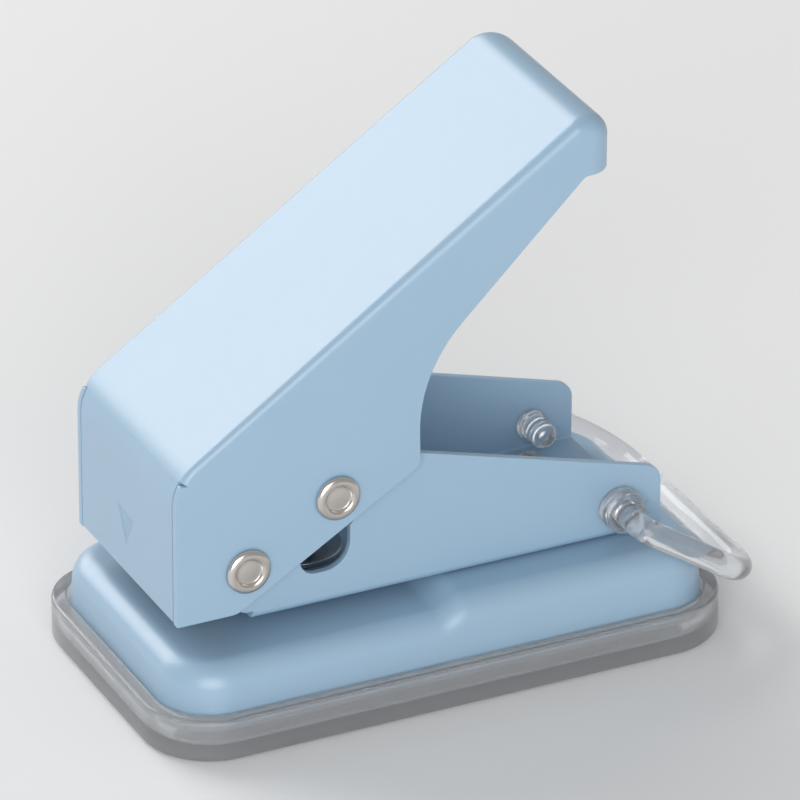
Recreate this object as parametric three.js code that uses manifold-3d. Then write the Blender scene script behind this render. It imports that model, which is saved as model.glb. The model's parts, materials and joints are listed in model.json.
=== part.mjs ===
// A single-hole paper punch. Millimetres, +Z up, +X to the rear, origin at the
// centre of the chip tray's underside. The front of the punch points to -X.
//
// How it works: the handle turns on the pivot rivet. A second rivet through the
// handle, the drive rivet, carries a roller that pushes the headed punch down
// through the guide bush, across the paper gap and into the die in the base.
// A coil spring lifts the punch and the handle again. The base and the channel
// frame are riveted together, and a clear tray presses on below to catch the chips.

import * as THREE from 'three';
import { mergeVertices } from 'three/addons/utils/BufferGeometryUtils.js';
import Module from 'manifold-3d';

const wasm = await Module();
wasm.setup();

// ---------------------------------------------------------------- dimensions

const GAP = 0.3;                    // clearance between touching pieces
const ROUND = 32;                   // facets on a round piece

const TRAY = { length: 96, width: 54, corner: 11.1, height: 7, floor: 1.4, wall: 2.35, ledge: 1.6, ledgeTop: 4.6,
  lipReach: 1.5, lipHalf: 9, lipBottom: 5.4 };
const PAN = { halfX: 45.35, halfY: 24.3, corner: 9, bottom: 4.9, sheet: 1.0, fillet: 4.0, top: 14.0, draft: 0.4,
  rise: 2.0, riseFrom: -2.2, riseTo: 3.0, blendFrom: 6.8 };
const FRAME = { half: 15.6, sheet: 1.2, bottom: 16.3, bend: 1.5, webFront: -29.55, webRear: 39.5, rear: 39.2 };
const PIVOT = { x: -31.48, z: 26.58 };
const DRIVE = { x: -16.74, z: 35.6 };
const BAIL = { x: 31.9, z: 21.6, droop: 33.5, reach: 23.5, legY: 24.1, bendR: 2.6, cornerR: 7.5, rod: 1.95, neck: 1.7,
  tipY: 8.8, collarR: 3.5 };
const PUNCH = { x: -15.0, r: 3.0, tip: 16.6, headTop: 32.1, headR: 5.0, headThick: 1.2 };
const BUSH = { r: 3.9, flangeR: 7.0, flangeThick: 0.8, top: 21.0, bore: 3.06 };
const DIE = { r: 5.0, flangeR: 7.0, bottom: 10.2, flangeThick: 2.2, bore: 3.06 };
const SPRING = { coilR: 4.75, wireR: 0.32, turns: 4.5 };
const RIVET = { shankR: 1.8, headR: 3.6, headThick: 0.8, mouthR: 2.3, floorR: 2.0, dish: 0.55, dome: 0.15, holeR: 2.1 };
const SLOT = { front: -21.65, rear: -13.4, bottom: 21.95, top: 38.4, frontR: 2.6, rearR: 4.2, topR: 4.0,
  stepLow: 28.9, stepHigh: 30.0, sweepRear: -12.4 };
const HANDLE = { half: 18.0, sheet: 1.05, bottom: 19.4, footX: -43.2, cornerZ: 43.49,
  slope: THREE.MathUtils.degToRad(34.56), frontFold: 8.0, sideFold: 1.6, endX: 29.3, endFold: 4.45, endCorner: 5.5,
  lipZ: 80.2, seamHalf: 16.65, seamTop: 43.5, markDepth: 0.7 };
const FRAME_RIVET = { holeR: 1.8, r: 1.5, headR: 2.6, headThick: 0.9, xs: [10, 29], y: 9 };

// -------------------------------------------------------------- solid helpers

// A closed three.js geometry as a manifold solid, turned the right way out.
function solid(geometry) {
  const bare = geometry.clone();
  bare.deleteAttribute('normal');
  bare.deleteAttribute('uv');
  const merged = mergeVertices(bare, 1e-4);
  const points = merged.attributes.position.array;
  const index = [];
  for (let i = 0; i < merged.index.count; i += 3) {
    const [a, b, c] = [0, 1, 2].map((k) => merged.index.getX(i + k));
    if (a !== b && b !== c && a !== c) index.push(a, b, c);
  }
  const build = (triangles) => new wasm.Manifold(new wasm.Mesh({
    numProp: 3, vertProperties: new Float32Array(points), triVerts: new Uint32Array(triangles),
  }));
  const made = build(index);
  if (made.volume() > 0) return made;
  for (let i = 0; i < index.length; i += 3) [index[i], index[i + 1]] = [index[i + 1], index[i]];
  return build(index);
}

// A manifold solid as a three.js geometry.
function shell(body) {
  const mesh = body.getMesh();
  const points = new Float32Array((mesh.vertProperties.length / mesh.numProp) * 3);
  for (let i = 0; i < points.length / 3; i += 1) {
    for (let k = 0; k < 3; k += 1) points[i * 3 + k] = mesh.vertProperties[i * mesh.numProp + k];
  }
  const geometry = new THREE.BufferGeometry();
  geometry.setAttribute('position', new THREE.BufferAttribute(points, 3));
  geometry.setIndex([...mesh.triVerts]);
  geometry.computeVertexNormals();
  return geometry;
}

function extruded(shape, depth, curveSegments = 8) {
  return new THREE.ExtrudeGeometry(shape, { depth, bevelEnabled: false, curveSegments });
}

// A side outline in X and Z, extruded across the punch from y0 to y1.
function acrossY(shape, y0, y1, curveSegments = 8) {
  return solid(extruded(shape, y1 - y0, curveSegments).rotateX(Math.PI / 2).translate(0, y1, 0));
}

// A plan outline in X and Y, extruded upwards from z0 to z1.
function upZ(shape, z0, z1, curveSegments = 8) {
  return solid(extruded(shape, z1 - z0, curveSegments).translate(0, 0, z0));
}

// A cross-section in Y and Z, extruded along X from x0 to x1.
function alongX(shape, x0, x1, curveSegments = 6) {
  const turn = new THREE.Matrix4().makeBasis(
    new THREE.Vector3(0, 1, 0), new THREE.Vector3(0, 0, 1), new THREE.Vector3(1, 0, 0));
  return solid(extruded(shape, x1 - x0, curveSegments).applyMatrix4(turn).translate(x0, 0, 0));
}

function outline(points) {
  return new THREE.Shape(points.map(([a, b]) => new THREE.Vector2(a, b)));
}

function circle(x, y, r) {
  return new THREE.Shape().absarc(x, y, r, 0, 2 * Math.PI, false);
}

function roundedRectangle(halfA, halfB, r) {
  const shape = new THREE.Shape();
  shape.absarc(halfA - r, halfB - r, r, 0, Math.PI / 2, false);
  shape.absarc(-halfA + r, halfB - r, r, Math.PI / 2, Math.PI, false);
  shape.absarc(-halfA + r, -halfB + r, r, Math.PI, 1.5 * Math.PI, false);
  shape.absarc(halfA - r, -halfB + r, r, 1.5 * Math.PI, 2 * Math.PI, false);
  shape.closePath();
  return shape;
}

// A profile of [radius, height] pairs turned about a line along Y through (x, z).
function turnedY(profile, x, z, facets = ROUND) {
  const points = profile.map(([r, y]) => new THREE.Vector2(r, y));
  return new THREE.LatheGeometry(points, facets).translate(x, 0, z);
}

// The same, about a vertical line through (x, y).
function turnedZ(profile, x, y, facets = ROUND) {
  const points = profile.map(([r, z]) => new THREE.Vector2(r, z));
  return new THREE.LatheGeometry(points, facets).rotateX(Math.PI / 2).translate(x, y, 0);
}

// A plain ring between two radii and two heights, as a closed profile.
function ringProfile(innerR, outerR, low, high) {
  return [[innerR, low], [outerR, low], [outerR, high], [innerR, high], [innerR, low]];
}

function crossHole(x, z, r) {
  return acrossY(circle(x, z, r), -30, 30, ROUND / 4);
}

function uprightHole(x, y, r) {
  return upZ(circle(x, y, r), -5, 60, ROUND / 4);
}

// --------------------------------------------------------------- chip tray

function chipTray() {
  const { length, width, corner, height, floor, wall, ledge, ledgeTop, lipReach, lipHalf, lipBottom } = TRAY;
  const outer = upZ(roundedRectangle(length / 2, width / 2, corner), 0, height, 7);
  const lip = upZ(outline([
    [length / 2 - 1, -lipHalf - 1.5], [length / 2 + lipReach, -lipHalf], [length / 2 + lipReach, lipHalf],
    [length / 2 - 1, lipHalf + 1.5]]), lipBottom, height);
  const seat = upZ(roundedRectangle(length / 2 - wall, width / 2 - wall, corner - wall), ledgeTop, height + 1, 7);
  const inset = wall + ledge;
  const hollow = upZ(roundedRectangle(length / 2 - inset, width / 2 - inset, corner - inset), floor, height + 1, 7);
  return shell(outer.add(lip).subtract(seat).subtract(hollow));
}

// --------------------------------------------------------------- base plate

// How far the pan's top is lifted at x: a soft step between paper table and rear platform.
function panRise(x) {
  const t = THREE.MathUtils.smoothstep(x, PAN.riseFrom, PAN.riseTo);
  return PAN.rise * t;
}

// One closed ring of the pan at a given inset from its outline and a given height.
function panRing(inset, height, stations) {
  const { halfX, halfY, corner, top, blendFrom } = PAN;
  const [cx, cy] = [halfX - corner, halfY - corner];
  const r = Math.max(corner - inset, 0);
  const steps = 6;
  const ring = [];
  const arc = (sx, sy, from) => {
    for (let i = 0; i <= steps; i += 1) {
      const a = from + (i / steps) * (Math.PI / 2);
      ring.push([sx * cx + r * Math.cos(a), sy * cy + r * Math.sin(a)]);
    }
  };
  arc(1, -1, -Math.PI / 2);
  arc(1, 1, 0);
  [...stations].reverse().forEach((x) => ring.push([x, cy + r]));
  arc(-1, 1, Math.PI / 2);
  arc(-1, -1, Math.PI);
  stations.forEach((x) => ring.push([x, -cy - r]));
  const lift = THREE.MathUtils.clamp((height - blendFrom) / (top - PAN.fillet - blendFrom), 0, 1);
  return ring.map(([x, y]) => [x, y, height + lift * panRise(x)]);
}

function basePlate() {
  const { halfX, halfY, corner, bottom, sheet, fillet, top, draft } = PAN;
  const [cx, cy] = [halfX - corner, halfY - corner];
  const stations = [-24, -12, -4, PAN.riseFrom, -1, 0, 1, 2, PAN.riseTo, 12, 24];
  const wall = (extra, drop) => {
    const list = [[corner, top - drop]];
    const r = fillet - extra;
    for (let i = 0; i <= 5; i += 1) {
      const a = (i / 5) * (Math.PI / 2);
      list.push([draft + extra + r * (1 - Math.sin(a)), top - drop - r * (1 - Math.cos(a))]);
    }
    return [...list, [extra, bottom]];
  };
  const outside = wall(0, 0);
  const inside = wall(sheet, sheet).reverse();
  const rings = [...outside, ...inside].map(([inset, z]) => panRing(inset, z, stations));
  const n = rings[0].length;
  const points = rings.flat(2);
  const index = [];
  for (let k = 0; k < rings.length - 1; k += 1) {
    for (let i = 0; i < n; i += 1) {
      const [a, b] = [k * n + i, k * n + ((i + 1) % n)];
      index.push(a, a + n, b + n, a, b + n, b);
    }
  }
  // Both caps: strips between the two long sides, column by column.
  const columns = [-cx, ...stations, cx];
  for (const up of [true, false]) {
    const drop = up ? 0 : sheet;
    columns.slice(1).forEach((x1, i) => {
      const x0 = columns[i];
      const quad = [[x0, -cy], [x1, -cy], [x1, cy], [x0, cy]].map(([x, y]) => [x, y, top - drop + panRise(x)]);
      const start = points.length / 3;
      points.push(...quad.flat());
      const [p, q, r, s] = [0, 1, 2, 3].map((k) => start + k);
      index.push(...(up ? [p, q, r, p, r, s] : [p, r, q, p, s, r]));
    });
  }
  const geometry = new THREE.BufferGeometry();
  geometry.setAttribute('position', new THREE.BufferAttribute(new Float32Array(points), 3));
  geometry.setIndex(index);
  let body = solid(geometry).subtract(uprightHole(PUNCH.x, 0, DIE.r + GAP));
  for (const [x, y] of frameRivetPlaces()) body = body.subtract(uprightHole(x, y, FRAME_RIVET.holeR));
  return shell(body);
}

function dieBush() {
  const { r, flangeR, bottom, flangeThick, bore } = DIE;
  const flangeTop = bottom + flangeThick;
  return turnedZ([[bore, bottom], [flangeR, bottom], [flangeR, flangeTop], [r, flangeTop], [r, PAN.top - 0.05],
    [bore, PAN.top - 0.05], [bore, bottom]], PUNCH.x, 0);
}

// --------------------------------------------------------------- frame

function frameRivetPlaces() {
  const { xs, y } = FRAME_RIVET;
  return xs.flatMap((x) => [[x, -y], [x, y]]);
}

function frameSection() {
  const { half, sheet, bottom, bend } = FRAME;
  const tall = 60;
  const section = new THREE.Shape();
  section.moveTo(-half, tall);
  section.lineTo(-half, bottom + bend);
  section.absarc(-half + bend, bottom + bend, bend, Math.PI, 1.5 * Math.PI, false);
  section.absarc(half - bend, bottom + bend, bend, 1.5 * Math.PI, 2 * Math.PI, false);
  section.lineTo(half, tall);
  section.lineTo(half - sheet, tall);
  section.absarc(half - bend, bottom + bend, bend - sheet, 0, -Math.PI / 2, true);
  section.absarc(-half + bend, bottom + bend, bend - sheet, -Math.PI / 2, -Math.PI, true);
  section.lineTo(-half + sheet, tall);
  return section;
}

function frameSide() {
  const { bottom, webFront, webRear, rear } = FRAME;
  const side = new THREE.Shape();
  side.moveTo(webFront, bottom - 1);
  side.lineTo(webRear, bottom - 1);
  side.lineTo(webRear, bottom + 1.4);
  side.lineTo(rear, bottom + 1.9);
  side.lineTo(rear, 24.6);
  side.quadraticCurveTo(rear, 26.8, 36.9, 27.47);
  side.lineTo(-18.5, 43.3);
  side.quadraticCurveTo(-21.3, 44.1, -23.2, 41.6);
  side.lineTo(-35.0, 31.8);
  side.quadraticCurveTo(-37.6, 29.4, -37.6, 26.4);
  side.quadraticCurveTo(-37.6, 22.0, -34.4, 20.2);
  side.lineTo(-31.0, 17.9);
  side.lineTo(webFront, 17.8);
  return side;
}

// The slot that the drive rivet sweeps, over a slightly narrower window onto the punch. Its rear step stops the rivet.
function driveSlot() {
  const { front, rear, bottom, top, frontR, rearR, topR, stepLow, stepHigh, sweepRear } = SLOT;
  const slot = new THREE.Shape();
  slot.moveTo(front, top - topR);
  slot.lineTo(front, bottom + frontR);
  slot.absarc(front + frontR, bottom + frontR, frontR, Math.PI, 1.5 * Math.PI, false);
  slot.absarc(rear - rearR, bottom + rearR, rearR, 1.5 * Math.PI, 2 * Math.PI, false);
  slot.lineTo(rear, stepLow);
  slot.lineTo(sweepRear, stepHigh);
  slot.absarc(sweepRear - topR, top - topR, topR, 0, Math.PI / 2, false);
  slot.absarc(front + topR, top - topR, topR, Math.PI / 2, Math.PI, false);
  return slot;
}

function frameChannel() {
  let body = alongX(frameSection(), -45, 45).intersect(acrossY(frameSide(), -20, 20));
  body = body.subtract(acrossY(driveSlot(), -30, 30));
  body = body.subtract(crossHole(PIVOT.x, PIVOT.z, RIVET.holeR));
  body = body.subtract(crossHole(BAIL.x, BAIL.z, BAIL.neck + GAP));
  body = body.subtract(uprightHole(PUNCH.x, 0, BUSH.r + GAP));
  for (const [x, y] of frameRivetPlaces()) body = body.subtract(uprightHole(x, y, FRAME_RIVET.holeR));
  return shell(body);
}

// A solid rivet that holds the frame's web on the pan's rear platform.
function frameRivet([x, y]) {
  const { r, headR, headThick } = FRAME_RIVET;
  const under = PAN.top + PAN.rise - PAN.sheet - GAP;
  const over = FRAME.bottom + FRAME.sheet + GAP;
  return turnedZ([[0, under - headThick], [headR - 0.4, under - headThick], [headR, under - headThick / 2],
    [headR, under], [r, under], [r, over], [headR, over], [headR, over + headThick / 2],
    [headR - 0.6, over + headThick], [0, over + headThick]], x, y, 24);
}

// --------------------------------------------------------------- punch

function guideBush() {
  const { r, flangeR, flangeThick, top, bore } = BUSH;
  const seat = FRAME.bottom + FRAME.sheet + GAP;
  return turnedZ([[bore, FRAME.bottom + 0.1], [r, FRAME.bottom + 0.1], [r, seat], [flangeR, seat],
    [flangeR, seat + flangeThick], [r, seat + flangeThick], [r, top], [bore, top], [bore, FRAME.bottom + 0.1]],
  PUNCH.x, 0);
}

function punchPin() {
  const { r, tip, headTop, headR, headThick } = PUNCH;
  return turnedZ([[0, tip + 0.8], [r - 0.1, tip], [r, tip + 0.2], [r, headTop - headThick],
    [headR, headTop - headThick], [headR, headTop - 0.4], [headR - 0.4, headTop], [0, headTop]], PUNCH.x, 0);
}

function springEnds() {
  const low = FRAME.bottom + FRAME.sheet + GAP + BUSH.flangeThick + GAP;
  return [low, PUNCH.headTop - PUNCH.headThick - GAP];
}

function returnSpring() {
  const { coilR, wireR, turns } = SPRING;
  const [low, high] = springEnds();
  const steps = Math.round(turns * 14);
  const points = [];
  for (let i = 0; i <= steps; i += 1) {
    const t = i / steps;
    const a = t * turns * 2 * Math.PI;
    points.push(new THREE.Vector3(PUNCH.x + coilR * Math.cos(a), coilR * Math.sin(a),
      THREE.MathUtils.lerp(low + wireR, high - wireR, t)));
  }
  const wire = new THREE.Shape().absarc(0, 0, wireR, 0, 2 * Math.PI, false);
  return shell(solid(new THREE.ExtrudeGeometry(wire, {
    steps, curveSegments: 3, extrudePath: new THREE.CatmullRomCurve3(points),
  })));
}

// --------------------------------------------------------------- handle

// The height of the handle's top line at x.
function topLine(x) {
  return HANDLE.cornerZ + Math.tan(HANDLE.slope) * (x - HANDLE.footX);
}

// Draws the handle's front, top and end in X and Z, between two heights and inset from the outside.
function handleTop(side, inset, startZ, endZ) {
  const { footX, cornerZ, slope, frontFold, endX, endFold } = HANDLE;
  const normal = slope + Math.PI / 2;
  const frontZ = cornerZ - frontFold * Math.tan((Math.PI - normal) / 2);
  const endCentreX = endX - endFold;
  side.moveTo(footX + inset, startZ);
  side.lineTo(footX + inset, frontZ);
  side.absarc(footX + frontFold, frontZ, frontFold - inset, Math.PI, normal, true);
  side.absarc(endCentreX, topLine(endCentreX) - endFold / Math.cos(slope), endFold - inset, normal, 0, true);
  side.lineTo(endX - inset, endZ);
}

function handleSide() {
  const { bottom, lipZ } = HANDLE;
  const side = new THREE.Shape();
  handleTop(side, 0, bottom, lipZ);
  side.lineTo(25.2, lipZ);
  side.quadraticCurveTo(24.1, lipZ, 23.1, 79.13);
  side.lineTo(4.3, 60.65);
  side.bezierCurveTo(-0.6, 56.4, -3.4, 50.4, -3.2, 44.6);
  side.lineTo(-2.84, 38.6);
  side.quadraticCurveTo(-2.8, 37.5, -4.0, 36.8);
  side.lineTo(-33.06, bottom);
  return side;
}

// The space inside the handle, open below and behind.
function handleHollow() {
  const hollow = new THREE.Shape();
  handleTop(hollow, HANDLE.sheet, 5, 60);
  hollow.lineTo(40, 60);
  hollow.lineTo(40, 5);
  return hollow;
}

// Everything under the top plane, rounded at the two long folds.
function underTop(half, inset, r) {
  const section = new THREE.Shape();
  section.moveTo(-half, -90);
  section.lineTo(half, -90);
  section.lineTo(half, -inset - r);
  section.absarc(half - r, -inset - r, r, 0, Math.PI / 2, false);
  section.absarc(-half + r, -inset - r, r, Math.PI / 2, Math.PI, false);
  const turn = new THREE.Matrix4().makeBasis(
    new THREE.Vector3(0, 1, 0), new THREE.Vector3(0, 0, 1), new THREE.Vector3(1, 0, 0));
  return solid(extruded(section, 150, 5).applyMatrix4(turn).translate(-50, 0, 0)
    .rotateY(-HANDLE.slope).translate(HANDLE.footX, 0, HANDLE.cornerZ));
}

// The handle's plan, rounded at the two corners of the pressing end.
function handlePlan(inset) {
  const { half, endX, endCorner } = HANDLE;
  const r = endCorner - inset;
  const plan = new THREE.Shape();
  plan.moveTo(-60, -half + inset);
  plan.lineTo(endX - endCorner, -half + inset);
  plan.absarc(endX - endCorner, -half + endCorner, r, -Math.PI / 2, 0, false);
  plan.absarc(endX - endCorner, half - endCorner, r, 0, Math.PI / 2, false);
  plan.lineTo(-60, half - inset);
  return upZ(plan, 0, 120, 6);
}

function handle() {
  const { half, sheet, sideFold, seamHalf, seamTop, footX, markDepth } = HANDLE;
  const outer = acrossY(handleSide(), -half, half).intersect(underTop(half, 0, sideFold)).intersect(handlePlan(0));
  const inner = acrossY(handleHollow(), -half + sheet, half - sheet)
    .intersect(underTop(half - sheet, sheet, sideFold - sheet))
    .intersect(handlePlan(sheet));
  let body = outer.subtract(inner);
  // The open corner seams beside the front flange.
  for (const sign of [-1, 1]) {
    const edges = [sign * seamHalf, sign * (half - sheet)].sort((a, b) => a - b);
    const seam = outline([[footX - 3, 0], [footX + 5, 0], [footX + 5, seamTop], [footX - 3, seamTop]]);
    body = body.subtract(acrossY(seam, edges[0], edges[1]));
  }
  // The centre mark pressed into the front flange.
  const mark = outline([[-3.5, 31], [0, 24.4], [3.5, 31], [1.9, 31], [0, 27.6], [-1.9, 31]]);
  body = body.subtract(alongX(mark, footX - 1, footX + markDepth));
  for (const place of [PIVOT, DRIVE]) body = body.subtract(crossHole(place.x, place.z, RIVET.holeR));
  return shell(body);
}

// --------------------------------------------------------------- pivots

// A rivet across the punch, with a shallow dish in each rolled head.
function dishedRivet({ x, z }) {
  const { shankR, headR, headThick, mouthR, floorR, dish, dome } = RIVET;
  const seat = HANDLE.half + GAP;
  const end = seat + headThick;
  const half = [[shankR, seat], [headR - 0.15, seat], [headR, seat + 0.25], [headR - 0.5, end - 0.1],
    [headR - 0.9, end], [mouthR, end - 0.05], [floorR, end - dish], [0, end - dish + dome]];
  const mirrored = [...half].reverse().map(([r, y]) => [r, -y]);
  return turnedY([...mirrored, ...half], x, z);
}

function ringAcross({ x, z }, outerR, low, high) {
  return turnedY(ringProfile(RIVET.holeR, outerR, low, high), x, z, 28);
}

const BETWEEN = FRAME.half - FRAME.sheet - GAP;   // half the room between the frame's arms
const WASHER = [FRAME.half + GAP, HANDLE.half - HANDLE.sheet - GAP];

// --------------------------------------------------------------- bail

function bailPin(sign) {
  const { rod, neck, tipY, collarR } = BAIL;
  const inner = FRAME.half - FRAME.sheet - GAP;
  const outer = FRAME.half + GAP;
  const profile = [[0, tipY], [1.3, tipY + 0.1], [2.1, tipY + 0.9], [2.1, inner - 1.2], [2.6, inner - 1.1],
    [2.6, inner], [neck, inner], [neck, outer], [collarR, outer], [collarR, outer + 1.2], [3.0, outer + 1.25],
    [3.0, outer + 1.5], [collarR - 0.1, outer + 1.55], [collarR - 0.1, outer + 2.7], [rod, outer + 2.75],
    [rod - 0.05, outer + 3.6], [0, outer + 3.6]];
  return solid(turnedY(profile.map(([r, y]) => [r, sign * y]), BAIL.x, BAIL.z, 20));
}

function bailLoop() {
  const { droop, reach, legY, bendR, cornerR, rod } = BAIL;
  const points = [];
  const arc = (cs, cy, r, from, to, steps) => {
    for (let i = 0; i <= steps; i += 1) {
      const a = THREE.MathUtils.degToRad(from + ((to - from) * i) / steps);
      points.push([cs + r * Math.cos(a), cy + r * Math.sin(a)]);
    }
  };
  points.push([0, -FRAME.half - 2.5]);
  arc(bendR, -legY + bendR, bendR, 180, 270, 5);
  points.push([(bendR + reach - cornerR) / 2, -legY]);
  arc(reach - cornerR, -legY + cornerR, cornerR, -90, 0, 6);
  points.push([reach, -6], [reach, 6]);
  arc(reach - cornerR, legY - cornerR, cornerR, 0, 90, 6);
  points.push([(bendR + reach - cornerR) / 2, legY]);
  arc(bendR, legY - bendR, bendR, 90, 180, 5);
  points.push([0, FRAME.half + 2.5]);
  const tilt = THREE.MathUtils.degToRad(droop);
  const path = new THREE.CatmullRomCurve3(points.map(([s, y]) => new THREE.Vector3(
    BAIL.x + s * Math.cos(tilt), y, BAIL.z - s * Math.sin(tilt))), false, 'centripetal');
  const section = new THREE.Shape().absarc(0, 0, rod, 0, 2 * Math.PI, false);
  const loop = solid(new THREE.ExtrudeGeometry(section, { steps: 64, curveSegments: 5, extrudePath: path }));
  return shell(loop.add(bailPin(-1)).add(bailPin(1)));
}

// --------------------------------------------------------------- finishes

const paint = new THREE.MeshStandardMaterial({ color: 0x9dbbd2, roughness: 0.42, metalness: 0.1 });
const milky = new THREE.MeshStandardMaterial({ color: 0xdfe3e8, roughness: 0.35, metalness: 0 });
const nickel = new THREE.MeshStandardMaterial({ color: 0xb9b4ae, roughness: 0.25, metalness: 1 });
const steel = new THREE.MeshStandardMaterial({ color: 0x8f9499, roughness: 0.3, metalness: 1 });
const nylon = new THREE.MeshStandardMaterial({ color: 0xe9e7e0, roughness: 0.6, metalness: 0 });

// --------------------------------------------------------------- assembly

const group = new THREE.Group();

function place(name, geometry, material, parent = group) {
  const mesh = new THREE.Mesh(geometry, material.clone());
  mesh.name = name;
  parent.add(mesh);
}

place('chip_tray', chipTray(), milky);
place('base_plate', basePlate(), paint);
place('die_bush', dieBush(), steel);
place('frame_channel', frameChannel(), paint);
frameRivetPlaces().forEach((spot, i) => place(`frame_rivet_${i + 1}`, frameRivet(spot), nickel));
place('guide_bush', guideBush(), steel);
place('return_spring', returnSpring(), steel);
place('punch_pin', punchPin(), steel);

const lever = new THREE.Group();
group.add(lever);
place('handle', handle(), paint, lever);
place('pivot_rivet', dishedRivet(PIVOT), nickel, lever);
place('drive_rivet', dishedRivet(DRIVE), nickel, lever);
place('drive_roller', ringAcross(DRIVE, 3.2, -BETWEEN, BETWEEN), steel, lever);
place('pivot_sleeve', ringAcross(PIVOT, 3.4, -BETWEEN, BETWEEN), steel);
for (const [side, sign] of [['near', -1], ['far', 1]]) {
  const span = WASHER.map((y) => sign * y).sort((a, b) => a - b);
  place(`pivot_washer_${side}`, ringAcross(PIVOT, 4.6, ...span), nylon);
  place(`drive_washer_${side}`, ringAcross(DRIVE, 4.2, ...span), nylon, lever);
}
place('bail_loop', bailLoop(), milky);

export default group;
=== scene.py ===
"""The looks of a small lever hole punch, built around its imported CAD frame.

The punch is a pressed steel handle on a channel frame, riveted to a drawn base
pan that sits in a milky chip tray, with a plastic bail behind. Shapes are made
in millimetres in the frame's own axes (+X to the rear, +Z up) and turned to
metres when a mesh becomes an object.
"""

from __future__ import annotations

import json
import logging
import math
from dataclasses import dataclass
from enum import Enum
from typing import Callable, Sequence

import bmesh
import bpy
import numpy as np
from mathutils import Matrix, Vector


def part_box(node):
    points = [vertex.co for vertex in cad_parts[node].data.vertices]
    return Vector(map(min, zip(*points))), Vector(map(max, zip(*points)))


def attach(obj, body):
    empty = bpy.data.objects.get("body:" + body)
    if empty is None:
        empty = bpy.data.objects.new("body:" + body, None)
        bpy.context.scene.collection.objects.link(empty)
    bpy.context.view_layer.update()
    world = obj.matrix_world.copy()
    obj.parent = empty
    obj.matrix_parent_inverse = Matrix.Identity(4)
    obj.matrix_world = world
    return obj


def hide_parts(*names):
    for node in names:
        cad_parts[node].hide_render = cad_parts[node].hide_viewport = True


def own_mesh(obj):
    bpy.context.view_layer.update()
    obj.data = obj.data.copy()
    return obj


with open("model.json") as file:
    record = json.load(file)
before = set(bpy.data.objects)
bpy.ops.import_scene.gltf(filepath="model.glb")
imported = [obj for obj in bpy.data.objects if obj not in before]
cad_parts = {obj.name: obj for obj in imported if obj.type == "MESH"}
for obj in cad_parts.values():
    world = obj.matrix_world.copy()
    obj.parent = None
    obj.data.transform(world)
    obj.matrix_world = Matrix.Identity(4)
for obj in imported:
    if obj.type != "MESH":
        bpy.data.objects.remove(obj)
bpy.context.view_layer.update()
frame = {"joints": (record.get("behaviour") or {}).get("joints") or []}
LOG = logging.getLogger("hole_punch")
MM = 0.001

Point2 = tuple[float, float]
Point3 = tuple[float, float, float]
Spot = tuple[float, float, float, float]


class Body(str, Enum):
    """The rigid bodies that pieces ride on."""

    BASE = "base"
    LEVER = "lever"
    PUNCH = "punch"
    BAIL = "bail"
    TRAY = "tray"


class Slot(str, Enum):
    """The record's material slots."""

    PAINT = "painted_steel"
    TRAY = "tray_plastic"
    BAIL = "bail_plastic"
    NICKEL = "nickel_plate"
    STEEL = "tool_steel"
    NYLON = "nylon"


class Axis(str, Enum):
    """The line that a turned piece is made about."""

    ACROSS = "Y"
    UPRIGHT = "Z"


# ------------------------------------------------------------------ shape tools


def box_mm(node: str) -> tuple[Vector, Vector]:
    """A CAD node's corners at rest, in millimetres.

    Args:
        node: The node's name.

    Returns:
        The lowest and the highest corner.
    """
    low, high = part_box(node)
    return low / MM, high / MM


def joint_place(name: str) -> Vector:
    """The point of a hinge, in millimetres.

    Args:
        name: The joint's name.

    Returns:
        The joint's position.
    """
    found = next(j for j in frame["joints"] if j["name"] == name)
    return Vector(found["pos_m"]) / MM


def middle_mm(node: str) -> Vector:
    """The middle of a CAD node's box at rest, in millimetres."""
    low, high = box_mm(node)
    return (low + high) / 2


def rounded(corners: Sequence[Point3], step_deg: float = 9.0) -> list[Point2]:
    """A closed outline whose corners are rounded, each to its own radius.

    Args:
        corners: Corner points as (a, b, radius), in order round the outline.
        step_deg: The largest turn between two points of an arc.

    Returns:
        The outline's points, in the same order.
    """
    made: list[Point2] = []
    count = len(corners)
    for i, (a, b, radius) in enumerate(corners):
        here = Vector((a, b))
        to_last = (Vector(corners[i - 1][:2]) - here).normalized()
        to_next = (Vector(corners[(i + 1) % count][:2]) - here).normalized()
        half = to_last.angle(to_next) / 2
        if radius <= 0 or half > math.pi / 2 - 0.002:
            made.append((a, b))
            continue
        start = here + to_last * (radius / math.tan(half))
        centre = here + (to_last + to_next).normalized() * (radius / math.sin(half))
        spoke = start - centre
        turn = math.pi - 2 * half
        side = 1.0 if to_last.x * to_next.y - to_last.y * to_next.x < 0 else -1.0
        steps = max(2, math.ceil(math.degrees(turn) / step_deg))
        for k in range(steps + 1):
            angle = side * turn * k / steps
            cos, sin = math.cos(angle), math.sin(angle)
            made.append((centre.x + spoke.x * cos - spoke.y * sin, centre.y + spoke.x * sin + spoke.y * cos))
    return made


def make_object(name: str, points: Sequence[Sequence[float]],
                faces: Sequence[Sequence[int]]) -> bpy.types.Object:
    """A smooth-shaded mesh object from points in millimetres.

    Args:
        name: The object's name.
        points: Vertex positions.
        faces: Vertex indices of each face.

    Returns:
        The new object, linked to the scene.
    """
    mesh = bpy.data.meshes.new(name)
    mesh.from_pydata([tuple(c * MM for c in p) for p in points], [], [tuple(f) for f in faces])
    mesh.validate()
    mesh.polygons.foreach_set("use_smooth", [True] * len(mesh.polygons))
    mesh.update()
    made = bpy.data.objects.new(name, mesh)
    bpy.context.scene.collection.objects.link(made)
    return made


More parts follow.
